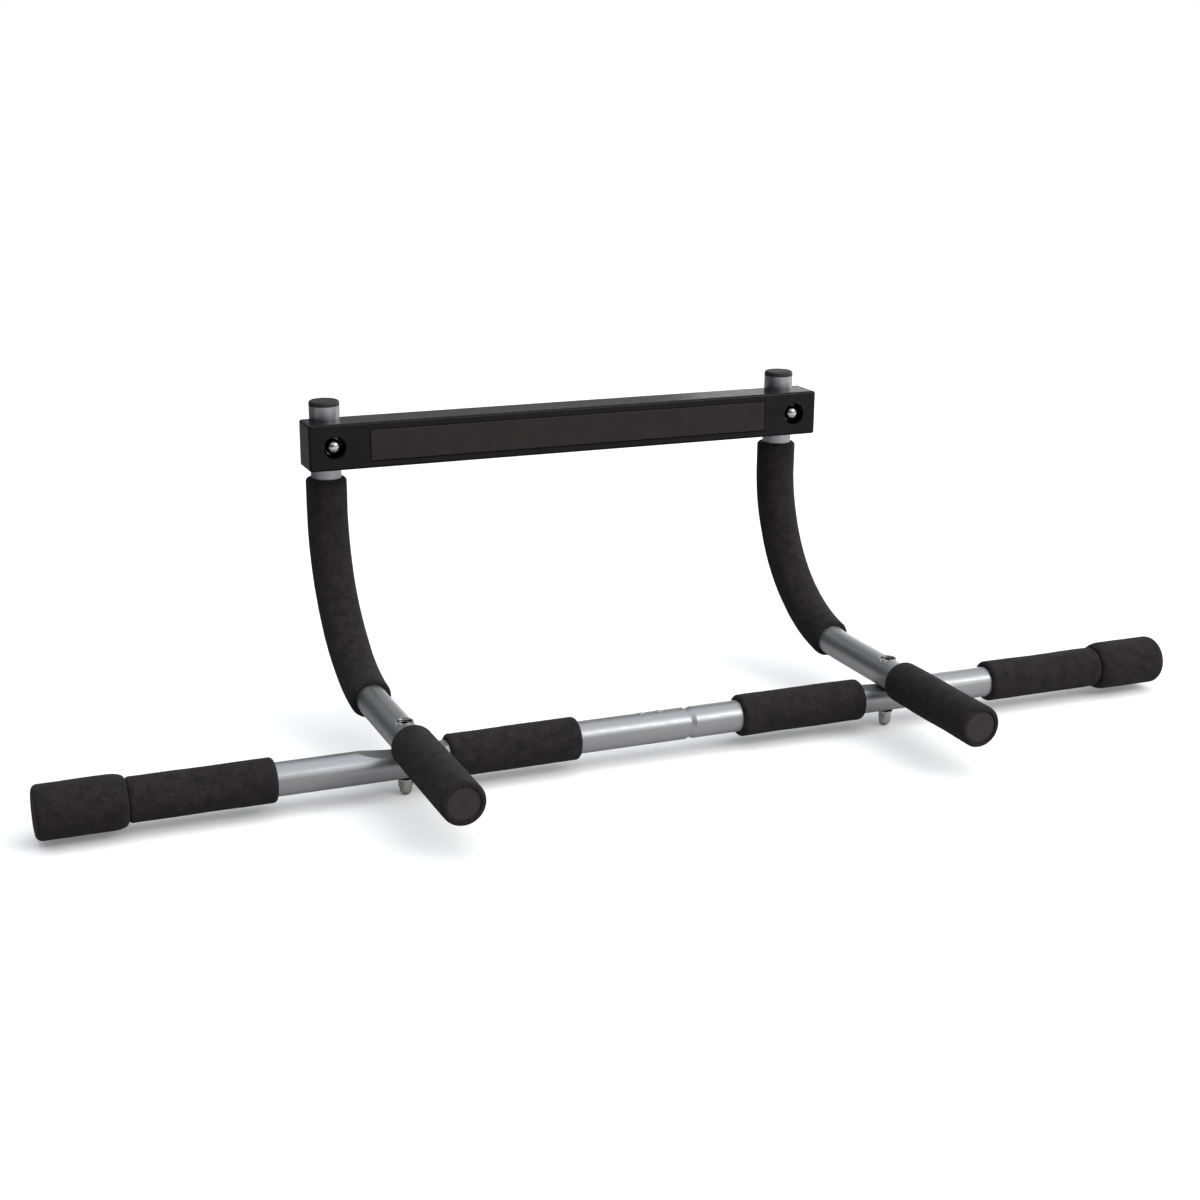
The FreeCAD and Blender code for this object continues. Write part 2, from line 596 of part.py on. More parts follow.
# ------------------------------------------------------------------ fasteners
def make_socket_screw(name, place_at, bolt_d, head_d, head_h, hexagon_flats, length):
    """A socket head screw standing on its seat, head up, shank down."""
    body = new_body(name, **place_at)
    profile = new_sketch(body, "XZ_Plane")
    draw_polygon(profile, [("0", f"-{length}"), (f"{bolt_d} / 2", f"-{length}"), (f"{bolt_d} / 2", "0"),
                           (f"{head_d} / 2", "0"), (f"{head_d} / 2", head_h), ("0", head_h)])
    revolve(body, profile)
    round_edges(body, "sizes.head_round", circle_at(f"{head_d} / 2", 2, head_h))
    socket = new_sketch(body, "XY_Plane", head_h)
    draw_polygon(socket, hexagon(hexagon_flats))
    cut(body, socket, f"{head_h} / 2")


def make_washer(name, place_at, outer_d, hole_d, thickness):
    """A flat washer lying under its place, top face at zero."""
    body = new_body(name, **place_at)
    ring = new_sketch(body, "XY_Plane")
    draw_circle(ring, f"{outer_d} / 2")
    draw_circle(ring, f"{hole_d} / 2 + sizes.bolt_gap")
    pad(body, ring, thickness, reverse=True)


def chamfer_hexagon(body, flats, level):
    """Turn the corners of a hexagon's upper end down to a cone of 30 degrees."""
    inner = f"({flats} / 2 - sizes.nut_corner)"
    outer = f"({flats})"
    lower = f"{level} - ({outer} - {inner}) * tan(30)"
    profile = new_sketch(body, "XZ_Plane")
    draw_polygon(profile, [(inner, level), (outer, level), (outer, lower)])
    groove = add_feature(body, "Groove", profile)
    groove.ReferenceAxis = (profile, ["V_Axis"])
    groove.Angle = 360
    doc.recompute()


def make_bushing(name, sign):
    """Sleeve through the bent tube that seats the bolt's head and stops the tube crushing."""
    body = new_body(name, f"{sign} * {SIDE_X}", BOLT_Y, LEG_Z)
    outer = "(sizes.bushing_d / 2)"
    pocket = "(sizes.cross_head_d / 2 + sizes.bushing_head_gap)"
    hole = "(sizes.cross_bolt_d / 2 + sizes.bolt_gap)"
    foot = f"(-sqrt({LEG_BORE} ^ 2 - {outer} ^ 2))"
    profile = new_sketch(body, "XZ_Plane")
    draw_polygon(profile, [(hole, foot), (outer, foot), (outer, BUSHING_TOP), (pocket, BUSHING_TOP),
                           (pocket, CROSS_SEAT), (hole, CROSS_SEAT)])
    revolve(body, profile)


def make_spacer(name, sign):
    """Sleeve inside the long bar, between its lower wall and the saddle."""
    outer = "(sizes.spacer_d / 2)"
    foot = f"(-sqrt({BAR_BORE} ^ 2 - {outer} ^ 2))"
    top = f"({STACK} - {LEG_R} - sizes.press_gap - sizes.bar_wall - sizes.spacer_gap)"
    body = new_body(name, f"{sign} * {SIDE_X}", BOLT_Y, BAR_Z)
    ring = new_sketch(body, "XY_Plane", foot)
    draw_circle(ring, outer)
    draw_circle(ring, "sizes.cross_bolt_d / 2 + sizes.bolt_gap")
    pad(body, ring, f"{top} - {foot}")


def make_cap_nut(name, place_at, kind):
    """A domed nut hanging from its seat at zero, dome down, sized by the cells of its kind."""
    flats = f"sizes.{kind}_nut_flats"
    height = f"sizes.{kind}_nut_height"
    dome_r = f"sizes.{kind}_nut_dome_d / 2"
    body = new_body(name, **place_at)
    base = new_sketch(body, "XY_Plane")
    draw_polygon(base, hexagon(flats))
    pad(body, base, f"sizes.{kind}_nut_hex", reverse=True)
    doc.recompute()
    chamfer_hexagon(body, flats, "0")
    dome = new_sketch(body, "XY_Plane")
    draw_circle(dome, dome_r)
    pad(body, dome, height, reverse=True)
    round_edges(body, f"{dome_r} - sizes.cap_nut_tip", circle_at(dome_r, 2, f"-{height}"))
    thread = new_sketch(body, "XY_Plane")
    draw_circle(thread, f"sizes.{kind}_bolt_d / 2 + sizes.thread_gap")
    cut(body, thread, f"{height} - sizes.cap_nut_cover")


def make_crossing(side, sign):
    """Everything on the vertical bolt that joins a bent tube to the long bar."""
    x = f"{sign} * {SIDE_X}"
    seat = {"x": x, "y": BOLT_Y, "z": f"{LEG_Z} + {CROSS_SEAT}"}
    nut_seat = {"x": x, "y": BOLT_Y, "z": f"{LEG_Z} + {CROSS_NUT_SEAT}"}
    hole_end = f"({CROSS_NUT_SEAT} - sizes.cross_nut_height + sizes.cap_nut_cover)"
    reach = f"({CROSS_SEAT} - {hole_end} - sizes.cap_nut_spare)"
    make_bushing(f"crossing_bushing_{side}", sign)
    make_socket_screw(f"crossing_bolt_{side}", seat, "sizes.cross_bolt_d", "sizes.cross_head_d",
                      "sizes.cross_head_height", "sizes.cross_hex", reach)
    make_spacer(f"crossing_spacer_{side}", sign)
    make_washer(f"crossing_washer_{side}", {"x": x, "y": BOLT_Y, "z": f"{BAR_Z} - {BAR_R}"},
                "sizes.cross_washer_d", "sizes.cross_bolt_d", "sizes.cross_washer_t")
    make_cap_nut(f"crossing_cap_nut_{side}", nut_seat, "cross")


def make_saddle_washer(name, x):
    """Washer hollowed to sit on the back of the bent tube."""
    body = new_body(name, x, UPRIGHT_Y, 0)
    disc = new_sketch(body, "XZ_Plane", f"-{SADDLE_BACK}")
    draw_circle(disc, "sizes.saddle_d / 2")
    pad(body, disc, SADDLE_BACK)
    roll = new_sketch(body, "XY_Plane")
    draw_circle(roll, f"{LEG_R} + sizes.grip_fit")
    cut(body, roll, "2 * sizes.saddle_d", midplane=True)
    hole = new_sketch(body, "XZ_Plane", f"-{SADDLE_BACK}")
    draw_circle(hole, "sizes.beam_bolt_d / 2 + sizes.bolt_gap")
    cut(body, hole, SADDLE_BACK, reverse=True)


def make_beam_fixing(side, sign):
    """Everything on the bolt that joins the crossbar to one upright, head at the back."""
    x = f"{sign} * {SIDE_X}"
    back = {"x": x, "y": f"{UPRIGHT_Y} + {SADDLE_BACK}", "z": 0, "axis": (1, 0, 0), "angle": -90}
    front = {"x": x, "y": BEAM_SEAT, "z": 0, "axis": (1, 0, 0), "angle": -90}
    washer = dict(front, y=f"{BEAM_SEAT} + sizes.beam_washer_t")
    hole_end = f"({BEAM_SEAT} - sizes.beam_nut_height + sizes.cap_nut_cover)"
    reach = f"({UPRIGHT_Y} + {SADDLE_BACK} - {hole_end} - sizes.cap_nut_spare)"
    make_socket_screw(f"crossbar_bolt_{side}", back, "sizes.beam_bolt_d", "sizes.beam_head_d",
                      "sizes.beam_head_height", "sizes.beam_hex", reach)
    make_saddle_washer(f"crossbar_saddle_{side}", x)
    make_washer(f"crossbar_washer_{side}", washer, "sizes.beam_washer_d", "sizes.beam_bolt_d",
                "sizes.beam_washer_t")
    make_cap_nut(f"crossbar_cap_nut_{side}", front, "beam")


# ------------------------------------------------------------------- crossbar
def both_sides(sketch, radius, y="0"):
    """One circle at each upright."""
    for sign in (-1, 1):
        draw_circle(sketch, radius, x=f"{sign} * {SIDE_X}", y=y)


def make_beam_shell():
    """Moulded cover, open at the back, with bolt bosses, ribs and the pad's pocket."""
    body = new_body("crossbar_shell", 0, "sizes.pad_proud", 0)
    boss_depth = f"({CORE_Y} - sizes.pad_proud)"
    inside_wall = "sizes.beam_front / 2"
    face = new_sketch(body, "XZ_Plane")
    draw_polygon(face, rectangle(BEAM_LENGTH, "sizes.beam_height"))
    pad(body, face, "sizes.beam_depth", reverse=True)
    corner = corner_at("sizes.beam_height / 2")
    round_edges(body, "sizes.beam_round", lambda edge: edge.BoundBox.YMax < NEAR or corner(edge))
    hollow = new_sketch(body, "XZ_Plane", "-sizes.beam_depth")
    draw_polygon(hollow, rectangle(f"({BEAM_LENGTH} - 2 * sizes.beam_wall)", INSIDE_HEIGHT))
    cut(body, hollow, "sizes.beam_depth - sizes.beam_front", reverse=True)
    boss = new_sketch(body, "XZ_Plane", f"-{inside_wall}")
    both_sides(boss, "sizes.recess_d / 2 + sizes.beam_wall")
    pad(body, boss, f"{boss_depth} - {inside_wall}", reverse=True)
    rib = new_sketch(body, "XZ_Plane", f"-{inside_wall}")
    draw_polygon(rib, rectangle("sizes.rib_t", f"({INSIDE_HEIGHT} + sizes.beam_wall)", x=f"-{RIB_FIELD} / 2"))
    first_rib = pad(body, rib, f"{boss_depth} - {inside_wall}", reverse=True)
    doc.recompute()
    ribs = body.newObject("PartDesign::LinearPattern", "crossbar_ribs")
    ribs.Originals = [first_rib]
    ribs.Direction = (rib, ["H_Axis"])
    bind(ribs, Length=RIB_FIELD, Occurrences="sizes.rib_count")
    body.Tip = ribs
    recess = new_sketch(body, "XZ_Plane")
    both_sides(recess, "sizes.recess_d / 2")
    cut(body, recess, f"{boss_depth} - sizes.boss_floor")
    bolt = new_sketch(body, "XZ_Plane")
    both_sides(bolt, "sizes.beam_bolt_d / 2 + sizes.bolt_gap")
    cut(body, bolt, boss_depth)
    pocket = new_sketch(body, "XZ_Plane")
    draw_polygon(pocket, rectangle(f"({PAD_LENGTH} + 2 * sizes.pad_gap)",
                                   f"({PAD_HEIGHT} + 2 * sizes.pad_gap)"))
    cut(body, pocket, "sizes.pad_pocket")
    notch = new_sketch(body, "XY_Plane")
    both_sides(notch, f"{LEG_R} + sizes.notch_gap", y=f"{UPRIGHT_Y} - sizes.pad_proud")
    cut(body, notch, "2 * sizes.beam_height", midplane=True)


def make_beam_core():
    """Steel strip inside the moulding that the bolts clamp against the uprights."""
    body = new_body("crossbar_core", 0, CORE_Y, 0)
    strip = new_sketch(body, "XZ_Plane")
    draw_polygon(strip, rectangle("(sizes.upright_gap + 2 * sizes.core_overhang)", CORE_HEIGHT))
    both_sides(strip, "sizes.beam_bolt_d / 2 + sizes.bolt_gap")
    pad(body, strip, "sizes.core_t", reverse=True)
    round_edges(body, "sizes.core_round", corner_at(f"{CORE_HEIGHT} / 2"))


def make_beam_pad():
    """Soft strip that bears on the wall."""
    body = new_body("crossbar_pad")
    strip = new_sketch(body, "XZ_Plane")
    draw_polygon(strip, rectangle(PAD_LENGTH, PAD_HEIGHT))
    pad(body, strip, "sizes.pad_proud + sizes.pad_pocket", reverse=True)
    round_edges(body, "sizes.pad_round", lambda edge: edge.BoundBox.YMax < NEAR)


# ------------------------------------------------------------------- assembly
make_bar_left()
make_bar_right()
make_joint_screws()
make_bar_grips()
make_plugs()
make_beam_shell()
make_beam_core()
make_beam_pad()
for side, sign in SIDES:
    make_end_cuff(f"end_cuff_{side}", sign)
    make_leg_tube(f"bent_tube_{side}", sign)
    make_curve_pad(side, sign)
    make_front_grip(side, sign)
    make_crossing(side, sign)
    make_beam_fixing(side, sign)
doc.recompute()

for item in doc.Objects:
    bad = [state for state in item.State if state in ("Invalid", "Error")]
    assert not bad, f"{item.Name} is {bad}"
for part in PARTS:
    assert not part.Shape.isNull() and part.Shape.isValid(), f"{part.Label} has no valid shape"
for part in PARTS:
    part.Shape.exportStep(f"parts/{part.Label}.step")
print(len(PARTS), "sub-parts written")
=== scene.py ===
"""The looks of a doorway pull up bar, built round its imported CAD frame.

The frame gives where each piece is and how large.  The foam sleeves, cuffs and wall pad are
meshes made here, with the bends and roundings named below.  The metal and moulded nodes keep
their CAD shape and get procedural materials.
Lengths are metres and angles are degrees, apart from the camera's lens and sensor.
"""
import math

import bmesh
import bpy
from mathutils import Matrix, Vector, noise


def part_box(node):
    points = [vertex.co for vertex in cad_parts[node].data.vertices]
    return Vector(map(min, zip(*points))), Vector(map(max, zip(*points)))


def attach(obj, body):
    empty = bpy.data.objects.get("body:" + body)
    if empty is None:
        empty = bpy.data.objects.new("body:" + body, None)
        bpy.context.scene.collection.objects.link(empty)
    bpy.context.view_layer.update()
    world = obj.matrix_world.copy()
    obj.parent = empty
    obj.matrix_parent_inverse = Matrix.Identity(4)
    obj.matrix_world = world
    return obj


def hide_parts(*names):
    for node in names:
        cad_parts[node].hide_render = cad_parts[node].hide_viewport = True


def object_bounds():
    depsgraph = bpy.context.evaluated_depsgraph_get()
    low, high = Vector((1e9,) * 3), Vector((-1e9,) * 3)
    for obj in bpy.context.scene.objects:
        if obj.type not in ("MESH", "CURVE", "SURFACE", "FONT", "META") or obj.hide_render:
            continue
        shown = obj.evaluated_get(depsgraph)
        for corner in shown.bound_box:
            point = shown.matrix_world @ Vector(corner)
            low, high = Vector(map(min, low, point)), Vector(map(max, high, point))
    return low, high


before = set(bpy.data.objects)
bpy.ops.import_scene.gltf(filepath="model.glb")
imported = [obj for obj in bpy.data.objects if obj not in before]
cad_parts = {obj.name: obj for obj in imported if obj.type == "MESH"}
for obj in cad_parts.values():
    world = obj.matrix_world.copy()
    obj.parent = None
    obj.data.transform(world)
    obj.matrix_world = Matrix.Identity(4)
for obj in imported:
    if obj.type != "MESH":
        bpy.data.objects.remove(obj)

cad_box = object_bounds()

MM = 0.001
SIDES = {"left": -1, "right": 1}

# ------------------------------------------------------------------ camera, lights and room
CAMERA_PLACE = (-0.5900, -1.4688, 0.3210)
CAMERA_TURN = 22.66
CAMERA_DOWN = 16.53
CAMERA_ROLL = 0.47
# in millimetres, as Blender takes them
CAMERA_LENS = 57.34
CAMERA_SENSOR = 36

LIGHT_AIM = (0, -0.1, -0.15)
KEY_PLACE = (0.6, -1.7, 1.9)
KEY_STRENGTH = 2.6
KEY_SPREAD = 95
# each one's name, place, watts, width and height
SOFTBOXES = (
    ("front_strip", (1.6, -2.5, 1.9), 31, 2.2, 1.0),
    ("right_panel", (3.2, 0.6, 0.5), 20, 2.0, 1.2),
    ("back_panel", (1.9, 2.4, 0.15), 5, 1.2, 0.6),
)

ROOM_CEILING = (0.95, 0.97, 1.0)
ROOM_LEFT = (0.03, 0.033, 0.042)
ROOM_RIGHT = (0.46, 0.455, 0.45)
WHITE = (1.0, 1.0, 1.0)
FLOOR_SIZE = 60

# ------------------------------------------------------------------ foam and rubber
BEND_RADIUS = 132.5 * MM
# how far round the bend each curved pad starts
PAD_TURN = {"left": 5.5, "right": 8}

FOAM_ROUND = 3.0 * MM
CUFF_SHOULDER = 11 * MM
CUFF_CREASE = 0.5 * MM
CUFF_ROUND = {"left": 4.5 * MM, "right": 7 * MM}

# the foam's slow swells and fine ripple: how long and how high they are
SWELL_LENGTH = 38 * MM
SWELL_HEIGHT = 0.35 * MM
RIPPLE_LENGTH = 7 * MM
RIPPLE_HEIGHT = 0.10 * MM
# how far apart in the noise two pieces lie, so that no two are alike
SEED_SPACING = 7.3
# an end face is even at its centre, up to its full unevenness at this radius
FADE_RADIUS = 5 * MM

PAD_ROUND = 0.7 * MM
PAD_WAVE_LENGTH = 22 * MM
PAD_WAVE_HEIGHT = 0.12 * MM

# ------------------------------------------------------------------ how fine the meshes are
RING_COUNT = 96
RING_STEP = 1.5 * MM
FACE_STEP = MM
BORE_STEP = 5 * MM
INNER_RING = 0.5 * MM
CORNER_STEPS = 8
PAD_COLUMN_STEP = 3 * MM
PAD_ROW_STEP = 2 * MM
PAD_ROUND_ANGLES = (0, 25, 45, 65, 90)

# most of a noise texture's values lie between these
NOISE_LOW = 0.3
NOISE_HIGH = 0.7


# ------------------------------------------------------------------ material helpers
def new_material(name, colour, values):
    """A material with the even values of its shader set."""
    material = bpy.data.materials.new(name)
    material.use_nodes = True
    shader = material.node_tree.nodes["Principled BSDF"]
    shader.inputs["Base Color"].default_value = (*colour, 1)
    for socket, value in values.items():
        shader.inputs[socket].default_value = value
    return material, material.node_tree, shader


def place_in(tree, stretch=(1, 1, 1)):
    """The surface's place in the object's own space, stretched along its axes."""
    where = tree.nodes.new("ShaderNodeTexCoord")
    mapping = tree.nodes.new("ShaderNodeMapping")
    mapping.inputs["Scale"].default_value = stretch
    tree.links.new(where.outputs["Object"], mapping.inputs["Vector"])
    return mapping.outputs["Vector"]


def grain(tree, size, detail=3, roughness=0.5, stretch=(1, 1, 1)):
    """Noise whose spots are about one size."""
    texture = tree.nodes.new("ShaderNodeTexNoise")
    texture.inputs["Scale"].default_value = 1 / size
    texture.inputs["Detail"].default_value = detail
    texture.inputs["Roughness"].default_value = roughness
    tree.links.new(place_in(tree, stretch), texture.inputs["Vector"])
    return texture.outputs["Fac"]


def pores(tree, size):
    """Round cells of about one size, dark in their middles."""
    texture = tree.nodes.new("ShaderNodeTexVoronoi")
    texture.inputs["Scale"].default_value = 1 / size
    tree.links.new(place_in(tree), texture.inputs["Vector"])
    return texture.outputs["Distance"]


def spread(tree, value, low, high, to_low=0, to_high=1):
    """A value between low and high, brought to another range and held there."""
    node = tree.nodes.new("ShaderNodeMapRange")
    for socket, number in (("From Min", low), ("From Max", high), ("To Min", to_low), ("To Max", to_high)):
        node.inputs[socket].default_value = number
    tree.links.new(value, node.inputs["Value"])
    return node.outputs["Result"]


def varied(tree, value, to_low=0, to_high=1):
    """A noise's usual values, brought to another range and held there."""
    return spread(tree, value, NOISE_LOW, NOISE_HIGH, to_low, to_high)


def tinted(tree, factor, dark, light):
    """A colour between two, by a factor.  Either colour may be a socket."""
    node = tree.nodes.new("ShaderNodeMix")
    node.data_type = "RGBA"
    tree.links.new(factor, node.inputs["Factor"])
    for socket, colour in ((node.inputs["A"], dark), (node.inputs["B"], light)):
        if isinstance(colour, tuple):
            socket.default_value = (*colour, 1)
        else:
            tree.links.new(colour, socket)
    return node.outputs["Result"]


def raised(tree, shader, layers):
    """Bump from several heights, each with its strength and its depth in metres."""
    normal = None
    for height, strength, depth in layers:
        node = tree.nodes.new("ShaderNodeBump")
        node.inputs["Strength"].default_value = strength
        node.inputs["Distance"].default_value = depth
        tree.links.new(height, node.inputs["Height"])
        if normal is not None:
            tree.links.new(normal, node.inputs["Normal"])
        normal = node.outputs["Normal"]
    tree.links.new(normal, shader.inputs["Normal"])


# ------------------------------------------------------------------ materials
def foam_material():
    """Closed cell foam: fine pores with painted shade in their hollows, a few pale torn cells, soft mottling
    with a warm cast.
    """
    material, tree, shader = new_material("grip_foam", (0.03, 0.03, 0.03), {
        "Roughness": 0.92, "Specular IOR Level": 0.12, "Sheen Weight": 0.03, "Sheen Roughness": 0.6})
    mottle = spread(tree, grain(tree, 9 * MM, 6, 0.68), 0.36, 0.64)
    skin = tinted(tree, mottle, (0.0110, 0.0103, 0.0105), (0.0210, 0.0186, 0.0184))
    cells = pores(tree, 1.3 * MM)
    # painted shade: the pore hollows, sunk by the bump below, are coloured far darker than the skin
    pore_shade_mask = spread(tree, cells, 0.05, 0.45)
    pore_shaded = tinted(tree, pore_shade_mask, (0.0045, 0.0042, 0.0043), skin)
    torn = spread(tree, grain(tree, 1.8 * MM, 2, 0.5), 0.66, 0.74)
    tree.links.new(tinted(tree, torn, pore_shaded, (0.036, 0.033, 0.032)), shader.inputs["Base Color"])
    fine = grain(tree, 0.5 * MM, 3, 0.6)
    tree.links.new(varied(tree, fine, 0.82, 0.98), shader.inputs["Roughness"])
    raised(tree, shader, [(cells, 0.8, 0.35 * MM), (fine, 0.45, 0.12 * MM)])
    return material


def tube_material():
    """Satin metallic paint: fine flake, slight orange peel and long faint scuffs."""
    material, tree, shader = new_material("tube_paint", (0.5, 0.5, 0.54), {
        "Metallic": 1.0, "Roughness": 0.34, "Coat Weight": 0.15, "Coat Roughness": 0.3})
    flake = grain(tree, 0.35 * MM, 2, 0.5)
    cloud = grain(tree, 30 * MM, 3, 0.5)
    silver = tinted(tree, varied(tree, cloud), (0.455, 0.460, 0.480), (0.500, 0.503, 0.520))
    base = tinted(tree, varied(tree, flake), silver, (0.555, 0.557, 0.570))
    tree.links.new(base, shader.inputs["Base Color"])
    scuff = grain(tree, 6 * MM, 5, 0.65, (1, 1, 3))
    tree.links.new(spread(tree, scuff, 0.35, 0.75, 0.38, 0.50), shader.inputs["Roughness"])
    raised(tree, shader, [(grain(tree, 1.6 * MM, 2), 0.10, 0.03 * MM), (flake, 0.08, 0.02 * MM)])
    return material


def plug_material():
    """Dark brown-black moulded plastic with a fine spark-eroded grain."""
    material, tree, shader = new_material("plug_plastic", (0.04, 0.037, 0.038), {
        "Roughness": 0.5, "Specular IOR Level": 0.45})
    cloud = varied(tree, grain(tree, 5 * MM, 3))
    tree.links.new(tinted(tree, cloud, (0.0130, 0.0114, 0.0120), (0.0205, 0.0182, 0.0188)),
                   shader.inputs["Base Color"])
    fine = grain(tree, 0.4 * MM, 3, 0.6)
    tree.links.new(varied(tree, fine, 0.42, 0.62), shader.inputs["Roughness"])
    raised(tree, shader, [(fine, 0.35, 0.05 * MM)])
    return material


def moulding_material():
    """Glossy black moulding: slight sink and flow waves, fine dust-like specks."""
    material, tree, shader = new_material("crossbar_plastic", (0.008, 0.0075, 0.0078), {
        "Roughness": 0.25, "Specular IOR Level": 0.2})
    cloud = varied(tree, grain(tree, 18 * MM, 4, 0.55))
    tree.links.new(tinted(tree, cloud, (0.0028, 0.0026, 0.0027), (0.0055, 0.0049, 0.0050)),
                   shader.inputs["Base Color"])
    wear = grain(tree, 3 * MM, 5, 0.65)
    tree.links.new(spread(tree, wear, 0.35, 0.75, 0.19, 0.34), shader.inputs["Roughness"])
    flow = grain(tree, 9 * MM, 2, 0.5, (0.3, 1, 1))
    raised(tree, shader, [(flow, 0.25, 0.12 * MM), (grain(tree, 0.5 * MM, 3, 0.6), 0.08, 0.02 * MM)])
    return material


def wall_pad_material():
    """Matte dark rubber strip with a brown cast and a leathery grain."""
    material, tree, shader = new_material("wall_pad_rubber", (0.03, 0.027, 0.027), {
        "Roughness": 0.85, "Specular IOR Level": 0.3, "Sheen Weight": 0.04, "Sheen Roughness": 0.5})
    cloud = varied(tree, grain(tree, 12 * MM, 5, 0.6))
    tree.links.new(tinted(tree, cloud, (0.0148, 0.0122, 0.0127), (0.0210, 0.0174, 0.0180)),
                   shader.inputs["Base Color"])
    fine = grain(tree, 0.6 * MM, 4, 0.65)
    tree.links.new(varied(tree, fine, 0.75, 0.92), shader.inputs["Roughness"])
    raised(tree, shader, [(grain(tree, 2.2 * MM, 3), 0.25, 0.10 * MM), (fine, 0.4, 0.06 * MM)])
    return material


def zinc_material():
    """Bright zinc plating with faint smudges, with painted shade turning it dark deep in holes and corners.
    """
    material, tree, shader = new_material("zinc_steel", (0.72, 0.72, 0.71), {
        "Metallic": 1.0, "Roughness": 0.2})
    smudge = varied(tree, grain(tree, 2.5 * MM, 4, 0.6))
    plating = tinted(tree, smudge, (0.60, 0.60, 0.59), (0.80, 0.80, 0.79))
    # painted shade: where occlusion is high, deep in holes and recesses, the plating is coloured near black
    recess_occlusion = tree.nodes.new("ShaderNodeAmbientOcclusion")
    recess_occlusion.inputs["Distance"].default_value = 8 * MM
    painted_shade_factor = spread(tree, recess_occlusion.outputs["AO"], 0.2, 0.5)
    tree.links.new(tinted(tree, painted_shade_factor, (0.02, 0.02, 0.02), plating), shader.inputs["Base Color"])
    tree.links.new(spread(tree, smudge, 0, 1, 0.24, 0.15), shader.inputs["Roughness"])
    raised(tree, shader, [(grain(tree, 0.5 * MM, 3), 0.12, 0.03 * MM)])
    return material


def strip_material():
    """Galvanised steel strip, brushed along its length."""
    material, tree, shader = new_material("strip_steel", (0.45, 0.45, 0.46), {
        "Metallic": 1.0, "Roughness": 0.4})
    brush = grain(tree, 0.6 * MM, 3, 0.6, (0.03, 1, 1))
    spangle = varied(tree, grain(tree, 8 * MM, 4))
    tree.links.new(tinted(tree, spangle, (0.36, 0.365, 0.38), (0.50, 0.50, 0.51)),
                   shader.inputs["Base Color"])
    tree.links.new(varied(tree, brush, 0.30, 0.52), shader.inputs["Roughness"])
    raised(tree, shader, [(brush, 0.3, 0.04 * MM)])
    return material


def floor_material():
    """White paper with a trace of tooth.  The object sees it dimmer, most of all behind and left."""
    material, tree, shader = new_material("floor_white", (0.9, 0.9, 0.9), {
        "Roughness": 1.0, "Specular IOR Level": 0.0,
        "Emission Color": (*WHITE, 1), "Emission Strength": 0.07})
    tooth = grain(tree, 1.5 * MM, 3)
    tree.links.new(tinted(tree, tooth, (0.88, 0.88, 0.88), (0.90, 0.90, 0.90)), shader.inputs["Base Color"])
    dim = tree.nodes.new("ShaderNodeBsdfDiffuse")
    split = tree.nodes.new("ShaderNodeSeparateXYZ")
    tree.links.new(place_in(tree), split.inputs["Vector"])
    across = spread(tree, split.outputs["X"], -1.2, 1.0)
    ahead = spread(tree, split.outputs["Y"], 0.25, -0.5)
    behind = tinted(tree, across, (0.06, 0.06, 0.065), (0.36, 0.355, 0.35))
    before = tinted(tree, across, (0.34, 0.335, 0.33), (0.60, 0.59, 0.58))
    tree.links.new(tinted(tree, ahead, behind, before), dim.inputs["Color"])
    sight = tree.nodes.new("ShaderNodeLightPath")
    either = tree.nodes.new("ShaderNodeMixShader")
    tree.links.new(sight.outputs["Is Camera Ray"], either.inputs["Fac"])
    tree.links.new(dim.outputs["BSDF"], either.inputs[1])
    tree.links.new(shader.outputs["BSDF"], either.inputs[2])
    tree.links.new(either.outputs["Shader"], tree.nodes["Material Output"].inputs["Surface"])
    return material


# ------------------------------------------------------------------ paths
def straight_path(start, direction):
    """A level line: the place and the two cross axes at a distance along it."""
    direction = Vector(direction)
    up = Vector((0, 0, 1))
    side = direction.cross(up)

    def at(distance):
        return start + direction * distance, side, up
    return at


def bend_path(centre, turn):
    """A quarter bend in the YZ plane from a first turn, then straight up."""
    arc = BEND_RADIUS * math.radians(90 - turn)
    side = Vector((1, 0, 0))

    def at(distance):
        angle = min(math.radians(turn) + distance / BEND_RADIUS, math.pi / 2)
        outward = Vector((0, math.sin(angle), -math.cos(angle)))
        rise = Vector((0, 0, max(distance - arc, 0)))
        return centre + outward * BEND_RADIUS + rise, side, outward
    return at


# ------------------------------------------------------------------ profiles
def between(start, end, along, across):
    """The profile point that lies these shares of the way from one point to another."""
    return start[0] + (end[0] - start[0]) * along, start[1] + (end[1] - start[1]) * across


def corner(start, end, radius_first):
    """Points of a quarter ellipse between two profile points.

    The radius changes first when the profile comes up an end face, and last when it comes
    along a side.
    """
    points = []
    for step in range(1, CORNER_STEPS):
        angle = math.pi / 2 * step / CORNER_STEPS
        late, early = 1 - math.cos(angle), math.sin(angle)
        points.append(between(start, end, late, early) if radius_first else between(start, end, early, late))
    return points


def evenly(start, end, step=RING_STEP):
    """Profile points from one to another, both included, about a step apart."""
    count = max(1, round(math.dist(start, end) / step))
    return [between(start, end, index / count, index / count) for index in range(count + 1)]


def sleeve_profile(length, bore, radius):
    """A tube of foam with rounded ends: near face, outside, far face, back along its bore."""
    shoulder = radius - FOAM_ROUND
    profile = evenly((0, bore), (0, shoulder), FACE_STEP)
    profile += corner((0, shoulder), (FOAM_ROUND, radius), radius_first=True)
    profile += evenly((FOAM_ROUND, radius), (length - FOAM_ROUND, radius))
    profile += corner((length - FOAM_ROUND, radius), (length, shoulder), radius_first=False)
    profile += evenly((length, shoulder), (length, bore), FACE_STEP)
    return profile + evenly((length, bore), (0, bore), BORE_STEP)[1:-1]


